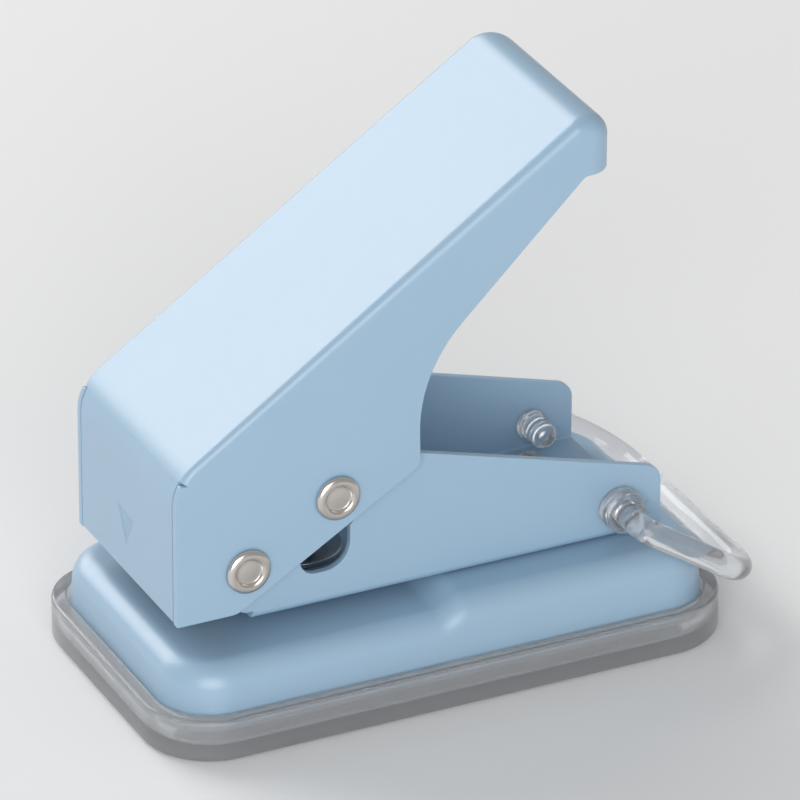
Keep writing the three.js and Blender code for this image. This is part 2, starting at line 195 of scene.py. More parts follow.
def tidy_mesh(obj: bpy.types.Object) -> bpy.types.Object:
    """Merges doubled points and turns every face outwards.

    Args:
        obj: The mesh object to clean.

    Returns:
        The same object.
    """
    bm = bmesh.new()
    bm.from_mesh(obj.data)
    bmesh.ops.remove_doubles(bm, verts=bm.verts, dist=1e-7)
    bmesh.ops.dissolve_degenerate(bm, edges=bm.edges, dist=1e-7)
    bmesh.ops.recalc_face_normals(bm, faces=bm.faces)
    bm.to_mesh(obj.data)
    bm.free()
    return obj


def bake(obj: bpy.types.Object) -> bpy.types.Object:
    """Applies an object's modifiers to its mesh.

    Args:
        obj: The object to apply.

    Returns:
        The same object with a final mesh.
    """
    bpy.context.view_layer.update()
    graph = bpy.context.evaluated_depsgraph_get()
    final = bpy.data.meshes.new_from_object(obj.evaluated_get(graph))
    obj.modifiers.clear()
    old = obj.data
    obj.data = final
    final.name = obj.name
    bpy.data.meshes.remove(old)
    return obj


def combine(obj: bpy.types.Object, tools: Sequence[bpy.types.Object], operation: str) -> bpy.types.Object:
    """Cuts or joins an object with others, which are then removed.

    Args:
        obj: The object to keep.
        tools: The cutters, or the pieces to join on.
        operation: DIFFERENCE or UNION.

    Returns:
        The kept object.
    """
    for tool in tools:
        cut = obj.modifiers.new("cut", "BOOLEAN")
        cut.operation = operation
        cut.solver = "EXACT"
        cut.object = tool
    bake(obj)
    for tool in tools:
        bpy.data.objects.remove(tool)
    return obj


def soften(obj: bpy.types.Object, width: float, segments: int = 3,
           angle_deg: float = 35.0) -> bpy.types.Object:
    """Rounds an object's sharp edges a little and evens out its shading.

    Args:
        obj: The object to finish.
        width: How wide the rounding is, in millimetres.
        segments: Faces across the rounding.
        angle_deg: Edges sharper than this are rounded.

    Returns:
        The same object.
    """
    if width > 0:
        edge = obj.modifiers.new("edge", "BEVEL")
        edge.width = width * MM
        edge.segments = segments
        edge.limit_method = "ANGLE"
        edge.angle_limit = math.radians(angle_deg)
        edge.use_clamp_overlap = False
        edge.miter_outer = "MITER_ARC"
    shade = obj.modifiers.new("shade", "WEIGHTED_NORMAL")
    shade.keep_sharp = True
    shade.weight = 100
    bake(obj)
    return obj


def turned(name: str, outline: Sequence[Point2], centre: Vector, axis: Axis,
           steps: int = 72) -> bpy.types.Object:
    """A solid of revolution.

    Args:
        name: The object's name.
        outline: A closed profile of (radius, height) pairs.
        centre: A point on the axis, in millimetres.
        axis: The line that the profile turns about.
        steps: Facets round the axis.

    Returns:
        The new object.
    """
    points: list[Point3] = []
    for k in range(steps):
        angle = 2 * math.pi * k / steps
        cos, sin = math.cos(angle), math.sin(angle)
        for r, h in outline:
            r = max(r, 0.0)
            if axis is Axis.ACROSS:
                points.append((centre.x + r * cos, centre.y + h, centre.z + r * sin))
            else:
                points.append((centre.x + r * cos, centre.y + r * sin, centre.z + h))
    n = len(outline)
    faces = []
    for k in range(steps):
        for i in range(n):
            j = (i + 1) % n
            if outline[i][0] < 1e-6 and outline[j][0] < 1e-6:
                continue
            a, b = k * n, ((k + 1) % steps) * n
            faces.append((a + i, b + i, b + j, a + j))
    return tidy_mesh(make_object(name, points, faces))


def prism(name: str, outline: Sequence[Point2], low: float, high: float,
          place: Callable[[float, float, float], Point3]) -> bpy.types.Object:
    """A straight prism with flat ends.

    Args:
        name: The object's name.
        outline: The closed section.
        low: Where the prism starts along its length.
        high: Where it ends.
        place: Turns (a, b, length) into a point in millimetres.

    Returns:
        The new object.
    """
    n = len(outline)
    points = [place(a, b, low) for a, b in outline] + [place(a, b, high) for a, b in outline]
    faces = [tuple(range(n)), tuple(range(2 * n - 1, n - 1, -1))]
    faces += [(i, i + n, (i + 1) % n + n, (i + 1) % n) for i in range(n)]
    return tidy_mesh(make_object(name, points, faces))


def across(a: float, b: float, length: float) -> Point3:
    """Places a section drawn in X and Z, with its length along Y."""
    return (a, length, b)


def upright(a: float, b: float, length: float) -> Point3:
    """Places a section drawn in X and Y, with its length along Z."""
    return (a, b, length)


def circle(x: float, y: float, r: float, steps: int = 64) -> list[Point2]:
    """The points of a circle in order round it."""
    return [(x + r * math.cos(2 * math.pi * k / steps), y + r * math.sin(2 * math.pi * k / steps))
            for k in range(steps)]


def swept(name: str, path: Sequence[Vector], radius: float, sides: int = 28) -> bpy.types.Object:
    """A round rod with closed ends along a path.

    Args:
        name: The object's name.
        path: Points along the rod's centre, in millimetres.
        radius: The rod's radius.
        sides: Facets round the rod.

    Returns:
        The new object.
    """
    points: list[Point3] = []
    along = (path[1] - path[0]).normalized()
    side = along.orthogonal().normalized()
    for i, here in enumerate(path):
        ahead = path[min(i + 1, len(path) - 1)] - path[max(i - 1, 0)]
        turn = along.rotation_difference(ahead.normalized())
        side = (turn @ side).normalized()
        along = ahead.normalized()
        other = along.cross(side)
        for k in range(sides):
            angle = 2 * math.pi * k / sides
            points.append(tuple(here + radius * (math.cos(angle) * side + math.sin(angle) * other)))
    faces = [tuple(range(sides))[::-1], tuple(range(len(points) - sides, len(points)))]
    for i in range(len(path) - 1):
        for k in range(sides):
            a, b = i * sides + k, i * sides + (k + 1) % sides
            faces.append((a, b, b + sides, a + sides))
    return tidy_mesh(make_object(name, points, faces))


class RoundedRing:
    """Rings of a rounded rectangle, all with the same number of points."""

    def __init__(self, half_x: float, half_y: float, corner: float, stations_x: Sequence[float],
                 stations_y: Sequence[float], corner_steps: int = 14) -> None:
        """Sets up the outline that every ring is inset from.

        Args:
            half_x: Half the outline's length.
            half_y: Half its width.
            corner: The radius of its corners.
            stations_x: Extra points along the two long sides.
            stations_y: Extra points along the two short sides.
            corner_steps: Facets in each corner.
        """
        self.centre_x, self.centre_y, self.corner = half_x - corner, half_y - corner, corner
        self.stations_x, self.stations_y, self.corner_steps = list(stations_x), list(stations_y), corner_steps

    def at(self, inset: float) -> list[Point2]:
        """One ring.

        Args:
            inset: How far the ring lies inside the outline.

        Returns:
            The ring's points, anticlockwise seen from above.
        """
        r = max(self.corner - inset, 0.0)
        squeeze = max(inset - self.corner, 0.0)
        cx, cy = self.centre_x - squeeze, self.centre_y - squeeze
        ring: list[Point2] = []
        for quarter, (sx, sy) in enumerate(((1, -1), (1, 1), (-1, 1), (-1, -1))):
            start = (quarter - 1) * math.pi / 2
            for k in range(self.corner_steps + 1):
                a = start + k / self.corner_steps * math.pi / 2
                ring.append((sx * cx + r * math.cos(a), sy * cy + r * math.sin(a)))
            if quarter == 0:
                ring += [(cx + r, t * cy) for t in self.stations_y]
            elif quarter == 1:
                ring += [(x, cy + r) for x in reversed(self.stations_x)]
            elif quarter == 2:
                ring += [(-cx - r, -t * cy) for t in self.stations_y]
            else:
                ring += [(x, -cy - r) for x in self.stations_x]
        return ring

    def cap(self) -> list[tuple[int, ...]]:
        """A cap's faces: strips from the near long side to the far one.

        Returns:
            Each face as places in the ring.
        """
        arc, across_count, along_count = self.corner_steps + 1, len(self.stations_y), len(self.stations_x)
        rear = list(range(arc, arc + across_count))
        far = list(range(2 * arc + across_count - 1, 2 * arc + across_count + along_count + 1))[::-1]
        front_start = 3 * arc + across_count + along_count
        front = list(range(front_start, front_start + across_count))
        near_start = 4 * arc + 2 * across_count + along_count
        near = [near_start - 1] + list(range(near_start, near_start + along_count)) + [0]
        faces = [(near[i], near[i + 1], far[i + 1], far[i]) for i in range(1, along_count)]
        faces.append((near[0], near[1], far[1], far[0], *front))
        faces.append((near[-2], near[-1], *rear, far[-1], far[-2]))
        return faces


def lofted(name: str, rings: Sequence[Sequence[Point3]],
           strips: RoundedRing | None = None) -> bpy.types.Object:
    """A closed surface through rings, capped at both ends.

    Args:
        name: The object's name.
        rings: Rings of points, each as long as the others.
        strips: The ring's plan, if the caps aren't flat and are made in strips across it.

    Returns:
        The new object.
    """
    n = len(rings[0])
    points = [p for ring in rings for p in ring]
    last = len(points) - n
    if strips:
        faces = strips.cap() + [tuple(last + i for i in face) for face in strips.cap()]
    else:
        faces = [tuple(range(n)), tuple(range(last, last + n))]
    for k in range(len(rings) - 1):
        for i in range(n):
            a, b = k * n + i, k * n + (i + 1) % n
            faces.append((a, a + n, b + n, b))
    return tidy_mesh(make_object(name, points, faces))


class PressedSkin:
    """A pressed sheet: a skin of faces, whose marked folds are rounded, then given its thickness."""

    def __init__(self, name: str) -> None:
        """Starts an empty skin.

        Args:
            name: The piece's name.
        """
        self.name = name
        self.bm = bmesh.new()
        self.weight = self.bm.edges.layers.float.new("bevel_weight_edge")
        self.corners: dict[Point3, bmesh.types.BMVert] = {}

    def corner(self, point: Sequence[float]) -> bmesh.types.BMVert:
        """The skin's vertex at a point, made once and shared by the faces that meet there.

        Args:
            point: The place in millimetres.

        Returns:
            The vertex.
        """
        key = tuple(round(c, 4) for c in point)
        if key not in self.corners:
            self.corners[key] = self.bm.verts.new(tuple(c * MM for c in point))
        return self.corners[key]

    def face(self, points: Sequence[Sequence[float]]) -> None:
        """Adds one flat face.

        Args:
            points: Its corners, anticlockwise seen from outside.
        """
        self.bm.faces.new([self.corner(p) for p in points])

    def fold(self, start: Sequence[float], end: Sequence[float], weight: float) -> None:
        """Marks a shared edge as a fold.

        Args:
            start: One end of the edge.
            end: The other end.
            weight: The fold's width as a share of the widest.
        """
        edge = self.bm.edges.get((self.corner(start), self.corner(end)))
        edge[self.weight] = weight

    def press(self, width: float, thickness: float, segments: int = 10) -> bpy.types.Object:
        """Rounds the folds and thickens the sheet inwards.

        Args:
            width: The widest marked fold's width on each face, in millimetres, or 0 for none.
            thickness: The sheet's thickness.
            segments: Facets across each fold.

        Returns:
            The pressed piece.
        """
        mesh = bpy.data.meshes.new(self.name)
        self.bm.to_mesh(mesh)
        self.bm.free()
        mesh.polygons.foreach_set("use_smooth", [True] * len(mesh.polygons))
        made = bpy.data.objects.new(self.name, mesh)
        bpy.context.scene.collection.objects.link(made)
        if width > 0:
            folds = made.modifiers.new("folds", "BEVEL")
            folds.limit_method = "WEIGHT"
            folds.width = width * MM
            folds.segments = segments
            folds.use_clamp_overlap = False
        sheet = made.modifiers.new("sheet", "SOLIDIFY")
        sheet.thickness = thickness * MM
        sheet.offset = -1
        sheet.use_even_offset = True
        return bake(made)


# ------------------------------------------------------------------ finishes


def linear(colour: str) -> tuple[float, float, float, float]:
    """An sRGB hex colour as linear RGBA.

    Args:
        colour: The colour, such as "#9DBBD2".

    Returns:
        The linear colour with an alpha of 1.
    """
    parts = [int(colour[i:i + 2], 16) / 255 for i in (1, 3, 5)]
    parts = [c / 12.92 if c <= 0.04045 else ((c + 0.055) / 1.055) ** 2.4 for c in parts]
    return (parts[0], parts[1], parts[2], 1.0)


def add_node(tree: bpy.types.NodeTree, kind: str, settings: dict,
             links: dict | None = None) -> bpy.types.Node:
    """Adds a node with its settings and its links.

    Args:
        tree: The node tree.
        kind: The node's type name.
        settings: Values by input name or number, or by the node's own property name.
        links: Output sockets to join, by input name or number.

    Returns:
        The new node.
    """
    made = tree.nodes.new(kind)
    for name, value in settings.items():
        if isinstance(name, int) or name in made.inputs:
            made.inputs[name].default_value = value
        else:
            setattr(made, name, value)
    for name, source in (links or {}).items():
        tree.links.new(source, made.inputs[name])
    return made


def new_material(name: str) -> tuple[bpy.types.Material, bpy.types.NodeTree, bpy.types.NodeSocket]:
    """Starts an empty node material.

    Args:
        name: The finish's name.

    Returns:
        The material, its node tree and its output's surface socket.
    """
    made = bpy.data.materials.new(name)
    made.use_nodes = True
    made.node_tree.nodes.clear()
    output = made.node_tree.nodes.new("ShaderNodeOutputMaterial")
    return made, made.node_tree, output.inputs["Surface"]


def per_metre(size_mm: float) -> float:
    """The noise scale that gives features of a size in millimetres."""
    return 1.0 / (size_mm * MM)


@dataclass(frozen=True)
class PowderCoat:
    """Polyester powder coat on steel: baked on, so it is satin with a faint orange peel."""

    name: str = "powder_coat_pale_blue"
    colour: str = "#9EBCD3"
    shade: str = "#99B8D0"
    roughness: float = 0.40
    peel_mm: float = 1.3        # the real peel is 0.5 to 1 mm wide, drawn a little coarser so that it shows
    peel_depth_mm: float = 0.006
    cloud_mm: float = 22.0      # slow drift of the coat's thickness

    def material(self) -> bpy.types.Material:
        """Builds the material.

        Returns:
            The finished material.
        """
        made, tree, surface = new_material(self.name)
        place = add_node(tree, "ShaderNodeTexCoord", {}).outputs["Object"]
        cloud = add_node(tree, "ShaderNodeTexNoise", {"Scale": per_metre(self.cloud_mm), "Detail": 2.0},
                         {"Vector": place})
        colour = add_node(tree, "ShaderNodeMix",
                          {"data_type": "RGBA", 6: linear(self.shade), 7: linear(self.colour)},
                          {0: cloud.outputs["Fac"]})
        fine = add_node(tree, "ShaderNodeTexNoise", {"Scale": per_metre(self.peel_mm), "Detail": 3.0},
                        {"Vector": place})
        rough = add_node(tree, "ShaderNodeMapRange",
                         {"To Min": self.roughness - 0.04, "To Max": self.roughness + 0.05},
                         {"Value": fine.outputs["Fac"]})
        bump = add_node(tree, "ShaderNodeBump", {"Strength": 0.5, "Distance": self.peel_depth_mm * MM},
                        {"Height": fine.outputs["Fac"]})
        shader = add_node(tree, "ShaderNodeBsdfPrincipled",
                          {"IOR": 1.5, "Metallic": 0.0, "Coat Weight": 0.25, "Specular IOR Level": 0.8,
                           "Coat Roughness": 0.28},
                          {"Base Color": colour.outputs[2], "Roughness": rough.outputs["Result"],
                           "Normal": bump.outputs["Normal"]})
        tree.links.new(shader.outputs["BSDF"], surface)
        return made


@dataclass(frozen=True)
class MilkyPlastic:
    """Unfilled polypropylene: moulded and a little cloudy, so light passes but shapes behind blur."""

    name: str
    transmission: float
    roughness: float
    scatter: float
    colour: str = "#F1F3F6"
    flow_mm: float = 9.0        # the drift of the melt as it filled the mould
    grain_mm: float = 0.8

    def material(self) -> bpy.types.Material:
        """Builds the material.

        Returns:
            The finished material.
        """
        made, tree, surface = new_material(self.name)
        place = add_node(tree, "ShaderNodeTexCoord", {}).outputs["Object"]
        flow = add_node(tree, "ShaderNodeTexNoise",
                        {"Scale": per_metre(self.flow_mm), "Detail": 3.0, "Distortion": 0.6},
                        {"Vector": place})
        rough = add_node(tree, "ShaderNodeMapRange",
                         {"To Min": self.roughness - 0.06, "To Max": self.roughness + 0.06},
                         {"Value": flow.outputs["Fac"]})
        grain = add_node(tree, "ShaderNodeTexNoise", {"Scale": per_metre(self.grain_mm), "Detail": 2.0},
                         {"Vector": place})
        bump = add_node(tree, "ShaderNodeBump", {"Strength": 0.35, "Distance": 0.006 * MM},
                        {"Height": grain.outputs["Fac"]})
        shader = add_node(tree, "ShaderNodeBsdfPrincipled",
                          {"Base Color": linear(self.colour), "IOR": 1.49,
                           "Transmission Weight": self.transmission,
                           "Subsurface Weight": self.scatter, "Subsurface Radius": (1.0, 1.0, 1.0),
                           "Subsurface Scale": 2.0 * MM},
                          {"Roughness": rough.outputs["Result"], "Normal": bump.outputs["Normal"]})
        tree.links.new(shader.outputs["BSDF"], surface)
        return made


@dataclass(frozen=True)
class PlatedMetal:
    """Bright or ground metal: a soft mirror, broken up by the fine marks of the tool that made it."""

    name: str
    colour: str
    roughness: float
    scratch_mm: float = 0.35    # spacing of the tool marks, drawn coarse enough to show
    scratch_depth_mm: float = 0.003
    stretch: Point3 = (1.0, 1.0, 1.0)

    def material(self) -> bpy.types.Material:
        """Builds the material.

        Returns:
            The finished material.
        """
        made, tree, surface = new_material(self.name)
        place = add_node(tree, "ShaderNodeTexCoord", {}).outputs["Object"]
        drawn = add_node(tree, "ShaderNodeMapping", {"Scale": self.stretch}, {"Vector": place})
        marks = add_node(tree, "ShaderNodeTexNoise", {"Scale": per_metre(self.scratch_mm), "Detail": 4.0},
                         {"Vector": drawn.outputs["Vector"]})
        rough = add_node(tree, "ShaderNodeMapRange",
                         {"To Min": self.roughness - 0.07, "To Max": self.roughness + 0.1},
                         {"Value": marks.outputs["Fac"]})
        bump = add_node(tree, "ShaderNodeBump", {"Strength": 0.6, "Distance": self.scratch_depth_mm * MM},
                        {"Height": marks.outputs["Fac"]})
        shader = add_node(tree, "ShaderNodeBsdfPrincipled",
                          {"Base Color": linear(self.colour), "Metallic": 1.0},
                          {"Roughness": rough.outputs["Result"], "Normal": bump.outputs["Normal"]})
        tree.links.new(shader.outputs["BSDF"], surface)
        return made


@dataclass(frozen=True)
class NaturalNylon:
    """Natural nylon washers: stamped from strip, off-white and dull."""

    name: str = "natural_nylon"
    colour: str = "#EDEAE0"
    roughness: float = 0.55
    grain_mm: float = 0.6

    def material(self) -> bpy.types.Material:
        """Builds the material.

        Returns:
            The finished material.
        """
        made, tree, surface = new_material(self.name)
        place = add_node(tree, "ShaderNodeTexCoord", {}).outputs["Object"]
        grain = add_node(tree, "ShaderNodeTexNoise", {"Scale": per_metre(self.grain_mm), "Detail": 3.0},
                         {"Vector": place})
        bump = add_node(tree, "ShaderNodeBump", {"Strength": 0.4, "Distance": 0.01 * MM},
                        {"Height": grain.outputs["Fac"]})
        shader = add_node(tree, "ShaderNodeBsdfPrincipled",
                          {"Base Color": linear(self.colour), "Roughness": self.roughness,
                           "Subsurface Weight": 0.15, "Subsurface Scale": 1.0 * MM},
                          {"Normal": bump.outputs["Normal"]})
        tree.links.new(shader.outputs["BSDF"], surface)
        return made


class Finishes:
    """Every finish on the punch, each made once."""

    def __init__(self) -> None:
        """Builds the materials by slot."""
        # The thick tray looks a little cloudier and duller than the thin, polished bail.
        tray = MilkyPlastic("milky_polypropylene_tray", transmission=0.82, roughness=0.2, scatter=0.12)
        bail = MilkyPlastic("milky_polypropylene_bail", transmission=0.88, roughness=0.12, scatter=0.1)
        # Plating leaves the rivets bright and slightly warm.
        nickel = PlatedMetal("bright_nickel_plate", "#DAD3CC", 0.2)
        # Turning and grinding leave a darker grey with fine rings round the upright pieces.
        steel = PlatedMetal("ground_tool_steel", "#A6ABB1", 0.3, stretch=(1.0, 1.0, 6.0))
        self.by_slot = {
            Slot.PAINT: PowderCoat().material(),
            Slot.TRAY: tray.material(),
            Slot.BAIL: bail.material(),
            Slot.NICKEL: nickel.material(),
            Slot.STEEL: steel.material(),
            Slot.NYLON: NaturalNylon().material(),
        }

    def dress(self, piece: bpy.types.Object, slot: Slot, body: Body, *nodes: str) -> None:
        """Gives a piece its finish and its place in the mechanism.

        Args:
            piece: The finished object.
            slot: The finish that it takes.
            body: The body that it rides on.
            nodes: The CAD nodes that it stands for.
        """
        piece.data.materials.clear()
        piece.data.materials.append(self.by_slot[slot])
        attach(piece, body.value)
        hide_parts(*nodes)
        LOG.info("%s: %d faces, rides on %s", piece.name, len(piece.data.polygons), body.value)


# ------------------------------------------------------------------ sub-assemblies


@dataclass
class ChipTray:
    """The moulded tray that the base pan presses into."""

    corner: float = 11.1
    wall: float = 2.35
    ledge: float = 1.6
    ledge_top: float = 4.6
    floor: float = 1.4
    foot: float = 0.9
    edge: float = 0.5
    lip_half: float = 9.0

    def profile(self, top: float) -> list[Point2]:
        """The tray's half section as (inset, height), from the underside's middle round to the floor's.

        Args:
            top: The height of the rim.

        Returns:
            The section's points.
        """
        e, well = self.edge, self.wall + self.ledge
        made = [(18.0, 0.35), (well + 1.0, 0.35), (well + 0.6, 0.0), (self.foot, 0.0)]
        for a in np.radians((22.5, 45, 67.5, 90)):
            made.append((self.foot * (1 - math.sin(a)), self.foot * (1 - math.cos(a))))
        made += [(0.0, 2.6), (0.0, top - 2.2), (0.0, top - 1.4), (0.0, top - e)]
        made += [(e * (1 - math.cos(a)), top - e * (1 - math.sin(a))) for a in np.radians((30, 60, 90))]
        made += [(self.wall - 0.3, top), (self.wall - 0.09, top - 0.09), (self.wall, top - 0.3)]
        made += [(self.wall, self.ledge_top + 0.15), (self.wall + 0.15, self.ledge_top)]
        made += [(well - 0.3, self.ledge_top), (well, self.ledge_top - 0.3), (well + 0.15, self.floor + 1.0)]
        return made + [(well + 0.45, self.floor + 0.3), (well + 1.1, self.floor), (18.0, self.floor)]

    def lip(self, y: float) -> float:
        """How much of the thumb lip's reach the rim has at a place across, from 0 to 1."""
        t = min(max((self.lip_half + 1.5 - abs(y)) / 3.0, 0.0), 1.0)
        return t * t * (3 - 2 * t)

    def build(self, finishes: Finishes) -> None:
        """Builds and dresses the tray.

        Args:
            finishes: The finishes to take from.
        """
        low, high = box_mm("chip_tray")
        half_x, top = -low.x, high.z
        reach = high.x - half_x
        outer_x = half_x - self.wall
        ring = RoundedRing(half_x, high.y, self.corner,
                           np.linspace(-30, 30, 21), np.linspace(-0.92, 0.92, 25))
        rings = []
        for inset, z in self.profile(top):
            lift = min(max((z - 4.4) / 1.0, 0.0), 1.0) if inset < self.wall / 2 else 0.0
            rings.append([(x + (reach * lift * self.lip(y) if x > outer_x else 0.0), y, z)
                          for x, y in ring.at(inset)])
        tray = soften(lofted("chip_tray_moulding", rings), 0.0)
        finishes.dress(tray, Slot.TRAY, Body.TRAY, "chip_tray")


@dataclass
class BasePan:
    """The drawn steel pan: paper table in front, raised platform behind, with the die let in."""

    corner: float = 9.0
    sheet: float = 1.0
    fillet: float = 4.0
    table: float = 14.0
    draft: float = 0.4
    rise_from: float = -2.2
    rise_to: float = 3.0
    blend_from: float = 6.8
    rim: float = 0.25
    die_hole: float = 5.15
    die_bore: float = 3.06
    die_neck: float = 5.0
    die_flange: float = 2.2
    rivet_hole: float = 1.8

    def rise(self, x: float, platform: float) -> float:
        """The lift of the pan's top at x, up to the platform's full lift, in millimetres."""
        t = min(max((x - self.rise_from) / (self.rise_to - self.rise_from), 0.0), 1.0)
        return platform * t * t * (3 - 2 * t)

    def profile(self, extra: float) -> list[Point2]:
        """The pan's half section as (inset, height), from the top's middle down to the wall.

        Args:
            extra: Depth into the sheet, 0 for the outside.

        Returns:
            The section's points.
        """
        r, top = self.fillet - extra, self.table - extra
        made = [(self.corner, top), (self.fillet + 1.6, top)]
        for a in np.linspace(0, math.pi / 2, 13):
            made.append((self.draft + extra + r * (1 - math.sin(a)), top - r * (1 - math.cos(a))))
        return made + [(self.draft * 0.4 + extra, 7.6)]

    def build(self, finishes: Finishes) -> None:
        """Builds and dresses the pan and the die bush.

        Args:
            finishes: The finishes to take from.
        """
        low, high = box_mm("base_plate")
        platform, bottom = high.z - self.table, low.z
        step = np.linspace(self.rise_from - 0.6, self.rise_to + 0.6, 17)
        stations = sorted(set(np.round(np.concatenate([np.linspace(-33, 33, 23), step]), 3)))
        ring = RoundedRing(high.x, high.y, self.corner, stations, np.linspace(-0.8, 0.8, 9), 18)
        e, t = self.rim, self.sheet
        turn = [(t / 2 - t / 2 * math.cos(a), bottom + e * (1 - math.sin(a)))
                for a in np.radians((0, 30, 60, 90, 120, 150, 180))]
        rings = []
        for inset, z in self.profile(0.0) + turn + self.profile(t)[::-1]:
            share = min(max((z - self.blend_from) / (self.table - self.fillet - self.blend_from), 0.0), 1.0)
            rings.append([(x, y, z + share * self.rise(x, platform)) for x, y in ring.at(inset)])
        pan = lofted("base_pan", rings, ring)
        cutters = [prism("die_hole", circle(self.die_place().x, 0, self.die_hole), 5, 30, upright)]
        for i in range(1, 5):
            spot = middle_mm(f"frame_rivet_{i}")
            cutters.append(prism("rivet_hole", circle(spot.x, spot.y, self.rivet_hole, 32), 5, 30, upright))
        pan = soften(combine(pan, cutters, "DIFFERENCE"), 0.0)
        finishes.dress(pan, Slot.PAINT, Body.BASE, "base_plate")
        self.build_die(finishes)

    def die_place(self) -> Vector:
        """The middle of the die bush."""
        return middle_mm("die_bush")

    def build_die(self, finishes: Finishes) -> None:
        """Builds and dresses the die bush.

        Args:
            finishes: The finishes to take from.
        """
        low, high = box_mm("die_bush")
        flange, shoulder = (high.x - low.x) / 2, low.z + self.die_flange
        outline = rounded([(self.die_bore, low.z, 0.2), (flange, low.z, 0.3), (flange, shoulder, 0.3),
                           (self.die_neck, shoulder, 0.2), (self.die_neck, high.z, 0.3),
                           (self.die_bore, high.z, 0.12)])
        place = self.die_place()
        die = turned("die", outline, Vector((place.x, 0, 0)), Axis.UPRIGHT)
        finishes.dress(soften(die, 0.0), Slot.STEEL, Body.BASE, "die_bush")


@dataclass
class FrameChannel:
    """The pressed channel that carries the pivots, and the four rivets that hold it on the pan."""

    sheet: float = 1.2
    bend: float = 1.5
    web_front: float = -29.55
    rivet_hole: float = 1.8
    bush_hole: float = 4.2
    pivot_hole: float = 2.1
    bail_hole: float = 2.0
    rear_top: float = 26.8
    peak: Point2 = (-20.48, 43.86)
    nose_x: float = -37.6
    nose_top: float = 29.64
    nose_bottom: float = 22.36
    toe: Point2 = (-31.0, 17.9)
    slot_front: float = -21.65
    slot_rear: float = -13.4
    slot_bottom: float = 21.95
    slot_top: float = 38.4
    step_low: float = 28.9      # the slot widens to the rear between these two heights
    step_high: float = 30.0
    sweep_rear: float = -12.4
    rivet_shank: float = 1.5
    rivet_head_thick: float = 0.9

    def side(self, bottom: float, rear: float) -> list[Point2]:
        """An arm's outline in X and Z, anticlockwise from the front of the fold.

        Args:
            bottom: The height of the web's underside.
            rear: The arm's rear edge.

        Returns:
            The outline's points.
        """
        return rounded([
            (self.web_front, bottom, 0), (rear, bottom, 0), (rear, self.rear_top, 2.9), (*self.peak, 5.5),
            (self.nose_x, self.nose_top, 7.0), (self.nose_x, self.nose_bottom, 6.8), (*self.toe, 0.8),
            (self.web_front, 17.8, 0)])

    def slot(self) -> list[Point2]:
        """The drive rivet's slot, which widens to the rear above a step, where the rivet sweeps.

        Returns:
            The slot's outline in X and Z.
        """
        return rounded([(self.slot_front, self.slot_bottom, 2.6), (self.slot_rear, self.slot_bottom, 4.2),
                        (self.slot_rear, self.step_low, 0), (self.sweep_rear, self.step_high, 0),
                        (self.sweep_rear, self.slot_top, 4.0), (self.slot_front, self.slot_top, 4.0)], 5.0)

    def build(self, finishes: Finishes) -> None:
        """Builds and dresses the frame and its rivets.

        Args:
            finishes: The finishes to take from.
        """
        low, high = box_mm("frame_channel")
        half, bottom, rear = high.y, low.z, high.x - 0.3
        side = self.side(bottom, rear)
        skin = PressedSkin("channel_frame")
        for sign in (-1, 1):
            skin.face([(x, sign * half, z) for x, z in side][::-sign])
            skin.fold((self.web_front, sign * half, bottom), (rear, sign * half, bottom), 1.0)
        skin.face([(self.web_front, half, bottom), (rear, half, bottom),
                   (rear, -half, bottom), (self.web_front, -half, bottom)])
        channel = skin.press(self.bend, self.sheet, 8)
        pivot, bail = joint_place("handle_pivot"), joint_place("bail_swing")
        cutters = [
            prism("drive_slot", self.slot(), -30, 30, across),
            prism("pivot_hole", circle(pivot.x, pivot.z, self.pivot_hole), -30, 30, across),
            prism("bail_hole", circle(bail.x, bail.z, self.bail_hole), -30, 30, across),
            prism("bush_hole", circle(middle_mm("guide_bush").x, 0, self.bush_hole), 5, 30, upright)]
        for i in range(1, 5):
            spot = middle_mm(f"frame_rivet_{i}")
            cutters.append(prism("rivet_hole", circle(spot.x, spot.y, self.rivet_hole, 32), 5, 30, upright))
        channel = soften(combine(channel, cutters, "DIFFERENCE"), 0.16)
        finishes.dress(channel, Slot.PAINT, Body.BASE, "frame_channel")
        for i in range(1, 5):
            self.build_rivet(finishes, i)

    def build_rivet(self, finishes: Finishes, number: int) -> None:
        """Builds and dresses one of the rivets that hold the frame on the pan.

        Args:
            finishes: The finishes to take from.
            number: Which rivet, from 1.
        """
        node = f"frame_rivet_{number}"
        low, high = box_mm(node)
        head, shank = (high.x - low.x) / 2, self.rivet_shank
        below, above = low.z + self.rivet_head_thick, high.z - self.rivet_head_thick
        outline = rounded([(0, low.z, 0), (head, low.z, 0.5), (head, below, 0.12), (shank, below, 0),
                           (shank, above, 0), (head, above, 0.12), (head, high.z, 0.55), (0, high.z, 0)])
        spot = middle_mm(node)
        rivet = turned(f"{node}_solid", outline, Vector((spot.x, spot.y, 0)), Axis.UPRIGHT, 48)
        finishes.dress(soften(rivet, 0.0), Slot.NICKEL, Body.BASE, node)


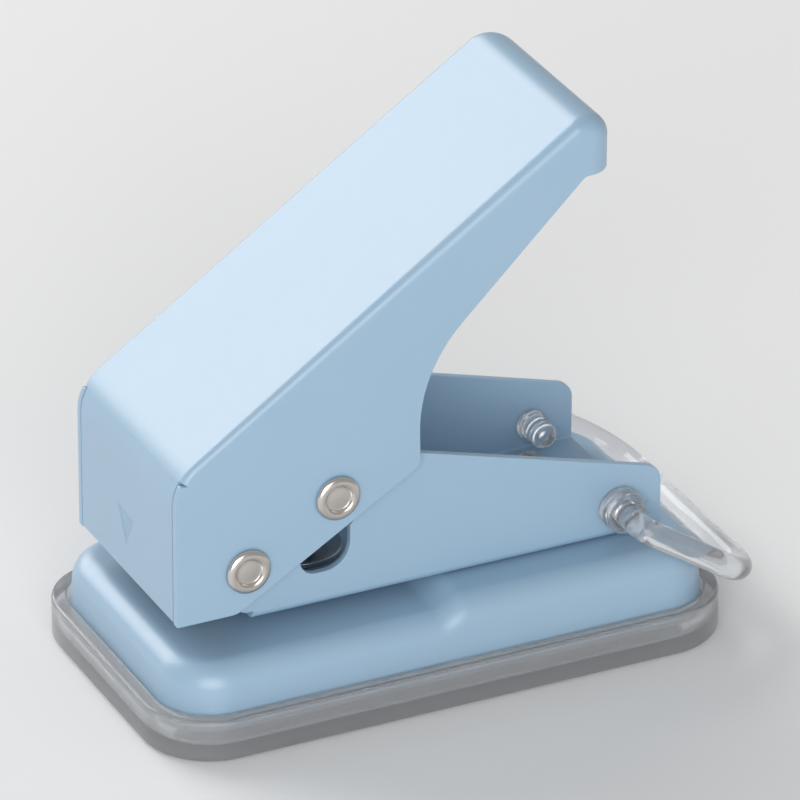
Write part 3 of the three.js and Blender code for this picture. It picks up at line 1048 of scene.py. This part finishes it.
@dataclass
class PunchWorks:
    """The guide bush, the headed punch, and the coil spring that lifts it."""

    bore: float = 3.06
    tube: float = 3.9
    flange_thick: float = 0.8
    wire: float = 0.32
    turns: float = 4.5
    dead_turns: float = 0.75
    dead_rise: float = 0.9      # how far a dead end rises, in thicknesses of the wire
    turn_steps: int = 40
    spring_gap: float = 0.3
    punch_radius: float = 3.0
    punch_head_thick: float = 1.2

    def build(self, finishes: Finishes) -> None:
        """Builds and dresses the three pieces.

        Args:
            finishes: The finishes to take from.
        """
        self.build_bush(finishes)
        self.build_punch(finishes)
        self.build_spring(finishes)

    def build_bush(self, finishes: Finishes) -> None:
        """Builds and dresses the guide bush.

        Args:
            finishes: The finishes to take from.
        """
        low, high = box_mm("guide_bush")
        flange, tube = (high.x - low.x) / 2, self.tube
        seat = box_mm("return_spring")[0].z - self.spring_gap
        under = seat - self.flange_thick
        outline = rounded([(self.bore, low.z, 0.15), (tube, low.z, 0.2), (tube, under, 0.1),
                           (flange, under, 0.15), (flange, seat, 0.25), (tube, seat, 0.2),
                           (tube, high.z, 0.25), (self.bore, high.z, 0.15)])
        place = middle_mm("guide_bush")
        bush = turned("guide_bush_turned", outline, Vector((place.x, 0, 0)), Axis.UPRIGHT)
        finishes.dress(soften(bush, 0.0), Slot.STEEL, Body.BASE, "guide_bush")

    def build_punch(self, finishes: Finishes) -> None:
        """Builds and dresses the punch, hollow-ground at its tip.

        Args:
            finishes: The finishes to take from.
        """
        low, high = box_mm("punch_pin")
        head, r = (high.x - low.x) / 2, self.punch_radius
        under = high.z - self.punch_head_thick
        outline = [(0, low.z + 0.8), (1.2, low.z + 0.68), (2.2, low.z + 0.36), (r - 0.02, low.z),
                   (r, low.z + 0.05)]
        outline += rounded([(r, under, 0.2), (head, under, 0.2), (head, high.z, 0.5), (0, high.z, 0)])
        punch = turned("punch", outline, Vector((middle_mm("punch_pin").x, 0, 0)), Axis.UPRIGHT)
        finishes.dress(soften(punch, 0.0), Slot.STEEL, Body.PUNCH, "punch_pin")

    def build_spring(self, finishes: Finishes) -> None:
        """Builds and dresses the return spring.

        Args:
            finishes: The finishes to take from.
        """
        low, high = box_mm("return_spring")
        coil, centre_x = (high.y - low.y) / 2 - self.wire, middle_mm("punch_pin").x
        bottom, top = low.z + self.wire, high.z - self.wire
        rise = 2 * self.wire * self.dead_rise
        path = []
        steps = round(self.turns * self.turn_steps)
        for i in range(steps + 1):
            turn = self.turns * i / steps
            live = min(max((turn - self.dead_turns) / (self.turns - 2 * self.dead_turns), 0.0), 1.0)
            first = min(turn / self.dead_turns, 1.0)
            last = max(turn - self.turns + self.dead_turns, 0.0) / self.dead_turns
            z = bottom + rise * (first + last) + (top - bottom - 2 * rise) * live
            angle = 2 * math.pi * turn
            path.append(Vector((centre_x + coil * math.cos(angle), coil * math.sin(angle), z)))
        spring = swept("coil_spring", path, self.wire, 14)
        finishes.dress(spring, Slot.STEEL, Body.BASE, "return_spring")
        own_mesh(spring)


@dataclass
class Handle:
    """The pressed handle: a deep channel with a front flange, a drawn end and a centre mark."""

    sheet: float = 1.05
    slope_deg: float = 34.56
    corner_z: float = 43.49
    front_fold: float = 8.0
    end_fold: float = 4.45
    end_corner: float = 4.3
    side_fold_rear: float = 1.8
    side_fold_front: float = 1.1
    fold_steps: int = 14
    side_steps: int = 8
    tail_r: float = 1.6
    flange_bottom: float = 19.9
    flange_half: float = 16.65
    seam_turn: float = 0.55     # how far round the front fold the open corner seams reach, from 0 to 1
    foot_rear: float = -33.06
    heel: Point2 = (-2.8, 37.75)
    waist: Point2 = (-3.2, 53.27)
    waist_r: float = 23.0
    underside: Point2 = (4.3, 60.65)    # a point on the straight edge under the grip
    underside_slope: float = 0.983
    lip_z: float = 80.2
    mark_half: float = 3.5
    mark_top: float = 31.0
    mark_tip: float = 24.4
    mark_depth: float = 0.85
    rivet_hole: float = 2.1

    def arc(self, centre_x: float, centre_z: float, radius: float, start_deg: float,
            end_deg: float) -> list[Spot]:
        """A fold's outside in X and Z, with the way that each point faces.

        Args:
            centre_x: The x of the fold's centre.
            centre_z: The height of the fold's centre.
            radius: The fold's outside radius.
            start_deg: Where the arc starts, anticlockwise from +X.
            end_deg: Where it ends.

        Returns:
            Each point as (x, z, facing x, facing z).
        """
        made = []
        for a in np.radians(np.linspace(start_deg, end_deg, self.fold_steps + 1)):
            cos, sin = math.cos(a), math.sin(a)
            made.append((centre_x + radius * cos, centre_z + radius * sin, cos, sin))
        return made

    def spine(self, foot_x: float, end_x: float) -> tuple[list[Spot], list[Spot]]:
        """The handle's two big folds, which its top lies between.

        Args:
            foot_x: The x of the front flange's face.
            end_x: The x of the end face.

        Returns:
            The front fold's points going up, and the end fold's going down.
        """
        slope = math.radians(self.slope_deg)
        normal = self.slope_deg + 90
        front_z = self.corner_z - self.front_fold * math.tan(math.radians(180 - normal) / 2)
        end_x0 = end_x - self.end_fold
        end_z = self.corner_z + math.tan(slope) * (end_x0 - foot_x) - self.end_fold / math.cos(slope)
        return (self.arc(foot_x + self.front_fold, front_z, self.front_fold, 180, normal),
                self.arc(end_x0, end_z, self.end_fold, normal, 0))

    def lower_edge(self, foot_x: float, bottom: float, end_x: float) -> list[Point2]:
        """The side's lower and rear edge in X and Z, from the front foot to the end face.

        Args:
            foot_x: The x of the front flange's face.
            bottom: The height of the side's foot.
            end_x: The x of the end face.

        Returns:
            The edge's points.
        """
        tail_x = self.underside[0] + (self.lip_z - self.underside[1]) / self.underside_slope
        above = 200.0    # past the top, so that the closed outline has square corners to drop
        flat_x = end_x - self.end_corner
        closed = rounded([
            (foot_x, bottom, 0.5), (self.foot_rear, bottom, 4.0), (*self.heel, 1.8),
            (*self.waist, self.waist_r), (tail_x, self.lip_z, self.tail_r), (flat_x, self.lip_z, 0),
            (flat_x, above, 0), (foot_x, above, 0)], 4.0)
        return closed[:-2]

    def build(self, finishes: Finishes) -> None:
        """Builds and dresses the handle.

        Args:
            finishes: The finishes to take from.
        """
        low, high = box_mm("handle")
        handle = self.press_skin(high.y, low, high.x)
        pivot, drive = joint_place("handle_pivot"), middle_mm("drive_rivet")
        cutters = [self.mark_cutter(low.x)]
        for place in (pivot, drive):
            cutters.append(prism("rivet_hole", circle(place.x, place.z, self.rivet_hole), -30, 30, across))
        handle = soften(combine(handle, cutters, "DIFFERENCE"), 0.16)
        finishes.dress(handle, Slot.PAINT, Body.LEVER, "handle")

    def press_skin(self, half: float, low: Vector, end_x: float) -> bpy.types.Object:
        """Makes the handle's sheet: strips across the folds, and a flat side at each end of them.

        Args:
            half: Half the handle's width.
            low: The lowest corner of the handle's box.
            end_x: The x of the end face.

        Returns:
            The pressed sheet, before its holes.
        """
        skin = PressedSkin("pressed_handle")
        front, end = self.spine(low.x, end_x)
        seam = round(self.seam_turn * self.fold_steps)
        over = front[seam:] + end + [(end_x, self.lip_z, 1.0, 0.0)]
        rows = [self.row(spot, self.fold_radius(k, len(front) - seam), half) for k, spot in enumerate(over)]
        middle, tab = self.side_steps, self.flange_half
        for k, (row, ahead) in enumerate(zip(rows, rows[1:])):
            for j in range(len(row) - 1):
                extra = [(row[j][0], y, row[j][2]) for y in (tab, -tab)] if k == 0 and j == middle else []
                skin.face([row[j], ahead[j], ahead[j + 1], row[j + 1]] + extra)
        flange = [(low.x, self.flange_bottom)] + [(x, z) for x, z, _, _ in front[:seam + 1]]
        for (x0, z0), (x1, z1) in zip(flange, flange[1:]):
            skin.face([(x0, -tab, z0), (x1, -tab, z1), (x1, tab, z1), (x0, tab, z0)])
        side = self.lower_edge(low.x, low.z, end_x)
        side += [(row[0][0], row[0][2]) for row in rows[-2::-1]]
        side += [(x, z) for x, z, _, _ in front[seam - 1::-1]]
        for sign in (-1, 1):
            skin.face([(x, sign * half, z) for x, z in side][::-sign])
        return skin.press(0.0, self.sheet)

    def fold_radius(self, place: int, front_count: int) -> float:
        """The side fold's radius, which grows along the handle and then into the end's round corner.

        Args:
            place: Which row, from the seams.
            front_count: How many rows lie on the front fold.

        Returns:
            The radius in millimetres.
        """
        if place < front_count:
            return self.side_fold_front
        round_end = min((place - front_count) / self.fold_steps, 1.0)
        return self.side_fold_rear + (self.end_corner - self.side_fold_rear) * round_end

    def row(self, spot: Spot, radius: float, half: float) -> list[Point3]:
        """One line of the skin across the handle, from the near side over both side folds.

        Args:
            spot: The place on the handle's outside and the way it faces.
            radius: The side fold's radius there.
            half: Half the handle's width.

        Returns:
            The line's points.
        """
        x, z, face_x, face_z = spot
        near = []
        for a in np.linspace(math.pi / 2, 0, self.side_steps + 1):
            drop = radius * (1 - math.cos(a))
            near.append((x - face_x * drop, -(half - radius + radius * math.sin(a)), z - face_z * drop))
        return near + [(px, -py, pz) for px, py, pz in near[::-1]]

    def mark_cutter(self, face_x: float) -> bpy.types.Object:
        """The three-sided point that presses the centre mark into the flange.

        Args:
            face_x: The x of the front flange's face.

        Returns:
            The cutter.
        """
        ring = [(-self.mark_half, self.mark_top), (self.mark_half, self.mark_top), (0.0, self.mark_tip)]
        middle_z = self.mark_top - 0.42 * (self.mark_top - self.mark_tip)
        points = [(face_x - 0.02, y, z) for y, z in ring] + [(face_x - 4.0, y, z) for y, z in ring]
        points.append((face_x + self.mark_depth, 0.0, middle_z))
        faces = [(3, 4, 5), (0, 1, 6), (1, 2, 6), (2, 0, 6), (0, 3, 4, 1), (1, 4, 5, 2), (2, 5, 3, 0)]
        return tidy_mesh(make_object("centre_mark", points, faces))


@dataclass
class Pivots:
    """The two rivets across the handle, with what turns and spaces on them."""

    shank: float = 1.8
    floor: float = 2.0
    mouth: float = 2.3
    head: float = 3.6
    head_thick: float = 0.8
    dish: float = 0.55
    dome: float = 0.15
    ring_bore: float = 2.1

    def rivet(self, name: str, node: str, body: Body, finishes: Finishes) -> None:
        """Builds and dresses a rivet with a rolled rim and a shallow dish at each end.

        Args:
            name: The piece's name.
            node: The CAD node that it stands for.
            body: The body that it rides on.
            finishes: The finishes to take from.
        """
        end = box_mm(node)[1].y
        seat = end - self.head_thick
        floor_y = end - self.dish
        # From the middle out: the dish's domed floor, its wall, the rolled rim and the head's edge.
        half = [(0.0, floor_y + self.dome), (0.8, floor_y + 0.8 * self.dome)]
        half += [(1.5, floor_y + 0.35 * self.dome), (self.floor - 0.12, floor_y)]
        half += [(self.floor, floor_y + 0.05), (self.floor + 0.08, end - 0.3)]
        half += [(self.mouth, end - 0.08), (self.mouth + 0.3, end), (self.head - 0.62, end - 0.05)]
        half += [(self.head - 0.28, end - 0.2), (self.head - 0.06, end - 0.42), (self.head, seat + 0.12)]
        half += [(self.head - 0.08, seat), (self.shank, seat)]
        outline = [(r, y) for r, y in half] + [(r, -y) for r, y in half[::-1]]
        place = middle_mm(node)
        piece = turned(name, outline, Vector((place.x, 0, place.z)), Axis.ACROSS, 96)
        finishes.dress(soften(piece, 0.0), Slot.NICKEL, body, node)

    def ring(self, name: str, node: str, slot: Slot, body: Body, finishes: Finishes) -> None:
        """Builds and dresses a plain turned ring, such as a washer, a sleeve or the roller.

        Args:
            name: The piece's name.
            node: The CAD node that it stands for.
            slot: Its finish.
            body: The body that it rides on.
            finishes: The finishes to take from.
        """
        low, high = box_mm(node)
        outer = (high.z - low.z) / 2
        edge = min(0.25, (high.y - low.y) / 4)
        outline = rounded([(self.ring_bore, low.y, edge), (outer, low.y, edge), (outer, high.y, edge),
                           (self.ring_bore, high.y, edge)], 22.5)
        place = middle_mm(node)
        piece = turned(name, outline, Vector((place.x, 0, place.z)), Axis.ACROSS, 64)
        finishes.dress(soften(piece, 0.0), slot, body, node)

    def build(self, finishes: Finishes) -> None:
        """Builds and dresses the rivets, the roller, the sleeve and the washers.

        Args:
            finishes: The finishes to take from.
        """
        self.rivet("pivot_rivet_drawn", "pivot_rivet", Body.LEVER, finishes)
        self.rivet("drive_rivet_drawn", "drive_rivet", Body.LEVER, finishes)
        self.ring("roller", "drive_roller", Slot.STEEL, Body.LEVER, finishes)
        self.ring("sleeve", "pivot_sleeve", Slot.STEEL, Body.BASE, finishes)
        for side in ("near", "far"):
            self.ring(f"pivot_spacer_{side}", f"pivot_washer_{side}", Slot.NYLON, Body.BASE, finishes)
            self.ring(f"drive_spacer_{side}", f"drive_washer_{side}", Slot.NYLON, Body.LEVER, finishes)


@dataclass
class Bail:
    """The plastic loop at the rear: two collared pins through the frame's arms, joined by a bent rod."""

    droop_deg: float = 33.5
    reach: float = 23.5
    leg_y: float = 24.1
    bend: float = 2.6
    corner: float = 7.5
    rod: float = 1.95
    neck: float = 1.7
    tip_y: float = 8.8
    collar: float = 3.5
    frame_half: float = 15.6
    frame_sheet: float = 1.2
    gap: float = 0.3
    pin_root: float = 2.4       # how far outside the frame the rod starts, within its collars

    def centreline(self) -> list[Point2]:
        """The rod's centre in its own plane, from the near pin to the far one.

        Returns:
            The points as (distance from the swing's axis, y).
        """
        root = self.frame_half + self.pin_root
        return rounded([
            (0.0, -root, 0), (0.0, -self.leg_y, self.bend), (self.reach, -self.leg_y, self.corner),
            (self.reach, self.leg_y, self.corner), (0.0, self.leg_y, self.bend), (0.0, root, 0)], 6.0)

    def pin(self, sign: int, centre: Vector) -> bpy.types.Object:
        """One of the two pins, with its inner shoulder and its two collars.

        Args:
            sign: -1 on the near side, 1 on the far side.
            centre: The swing's axis.

        Returns:
            The pin.
        """
        inner = self.frame_half - self.frame_sheet - self.gap
        outer = self.frame_half + self.gap
        outline = rounded([
            (0, self.tip_y, 0), (2.1, self.tip_y, 0.95), (2.1, inner - 1.15, 0.15), (2.6, inner - 1.15, 0.3),
            (2.6, inner, 0.2), (self.neck, inner, 0), (self.neck, outer, 0), (self.collar, outer, 0.3),
            (self.collar, outer + 1.25, 0.3), (2.95, outer + 1.25, 0.1), (2.95, outer + 1.6, 0.1),
            (self.collar - 0.1, outer + 1.6, 0.3), (self.collar - 0.1, outer + 2.8, 0.4),
            (self.rod, outer + 2.8, 0.3), (self.rod, outer + 3.6, 0), (0, outer + 3.6, 0)], 15.0)
        return turned("bail_pin", [(r, sign * y) for r, y in outline], centre, Axis.ACROSS, 48)

    def build(self, finishes: Finishes) -> None:
        """Builds and dresses the bail.

        Args:
            finishes: The finishes to take from.
        """
        centre = joint_place("bail_swing")
        droop = math.radians(self.droop_deg)
        path = [Vector((centre.x + s * math.cos(droop), y, centre.z - s * math.sin(droop)))
                for s, y in self.centreline()]
        loop = swept("bail_rod", path, self.rod)
        combine(loop, [self.pin(-1, centre), self.pin(1, centre)], "UNION")
        soften(loop, 0.12, 2, 40)
        loop.name = "bail_loop_moulding"
        finishes.dress(loop, Slot.BAIL, Body.BAIL, "bail_loop")


# ------------------------------------------------------------------ studio


@dataclass
class Studio:
    """A white floor and two broad soft lights, one behind and above and one in front."""

    floor_size: float = 12.0
    floor_colour: str = "#F4F4F4"
    floor_drop: float = 0.0002      # keeps the floor just clear of the tray's underside
    sky: float = 0.4
    back_place: Point3 = (-0.4, 1.07, 0.72)
    front_place: Point3 = (-0.55, -1.25, 0.45)
    box_size: float = 1.0
    box_power: float = 12.0

    def build(self) -> None:
        """Builds the floor, the lights and the world."""
        half = self.floor_size / 2 / MM
        floor = make_object("floor", [(-half, -half, 0), (half, -half, 0), (half, half, 0), (-half, half, 0)],
                            [(0, 1, 2, 3)])
        floor.location.z = -self.floor_drop
        material, tree, surface = new_material("matt_white_paper")
        shader = add_node(tree, "ShaderNodeBsdfPrincipled",
                          {"Base Color": linear(self.floor_colour), "Roughness": 0.9,
                           "Specular IOR Level": 0.1})
        tree.links.new(shader.outputs["BSDF"], surface)
        floor.data.materials.append(material)
        world = bpy.data.worlds.new("studio")
        world.use_nodes = True
        world.node_tree.nodes["Background"].inputs["Color"].default_value = (1, 1, 1, 1)
        world.node_tree.nodes["Background"].inputs["Strength"].default_value = self.sky
        bpy.context.scene.world = world
        bpy.context.scene.view_settings.view_transform = "Standard"
        self.area("back_softbox", Vector(self.back_place), self.box_size, self.box_power)
        self.area("front_softbox", Vector(self.front_place), self.box_size, self.box_power)

    def area(self, name: str, place: Vector, size: float, power: float) -> None:
        """Adds a square softbox that faces the punch.

        Args:
            name: The light's name.
            place: Where it stands, in metres.
            size: The length of its side, in metres.
            power: Its power, in watts.
        """
        data = bpy.data.lights.new(name, "AREA")
        data.size = size
        data.energy = power
        lamp = bpy.data.objects.new(name, data)
        lamp.location = place
        lamp.rotation_euler = (Vector((0, 0, 0.04)) - place).to_track_quat("-Z", "Y").to_euler()
        bpy.context.scene.collection.objects.link(lamp)


@dataclass
class Camera:
    """The camera: a long lens from the front left, a little above."""

    azimuth: float = -25.878
    elevation: float = 27.761
    roll: float = 0.26
    distance: float = 1171.8
    target: Point3 = (2.36, 0.0, 39.11)
    lens: float = 347.5

    def build(self) -> None:
        """Places the camera and makes it the scene's own."""
        a, e = math.radians(self.azimuth), math.radians(self.elevation)
        back = Vector((math.sin(a) * math.cos(e), -math.cos(a) * math.cos(e), math.sin(e)))
        data = bpy.data.cameras.new("camera")
        data.lens = self.lens
        data.clip_start, data.clip_end = 0.05, 30
        camera = bpy.data.objects.new("camera", data)
        camera.location = (Vector(self.target) + back * self.distance) * MM
        turn = (-back).to_track_quat("-Z", "Y").to_matrix()
        camera.rotation_euler = (turn @ Matrix.Rotation(math.radians(self.roll), 3, "Z")).to_euler()
        bpy.context.scene.collection.objects.link(camera)
        bpy.context.scene.camera = camera


def main() -> None:
    """Builds the camera, the studio and every sub-assembly in order."""
    logging.basicConfig(level=logging.INFO, format="%(name)s %(message)s")
    Camera().build()
    Studio().build()
    finishes = Finishes()
    for assembly in (ChipTray(), BasePan(), FrameChannel(), PunchWorks(), Handle(), Pivots(), Bail()):
        assembly.build(finishes)


if __name__ == "__main__":
    main()
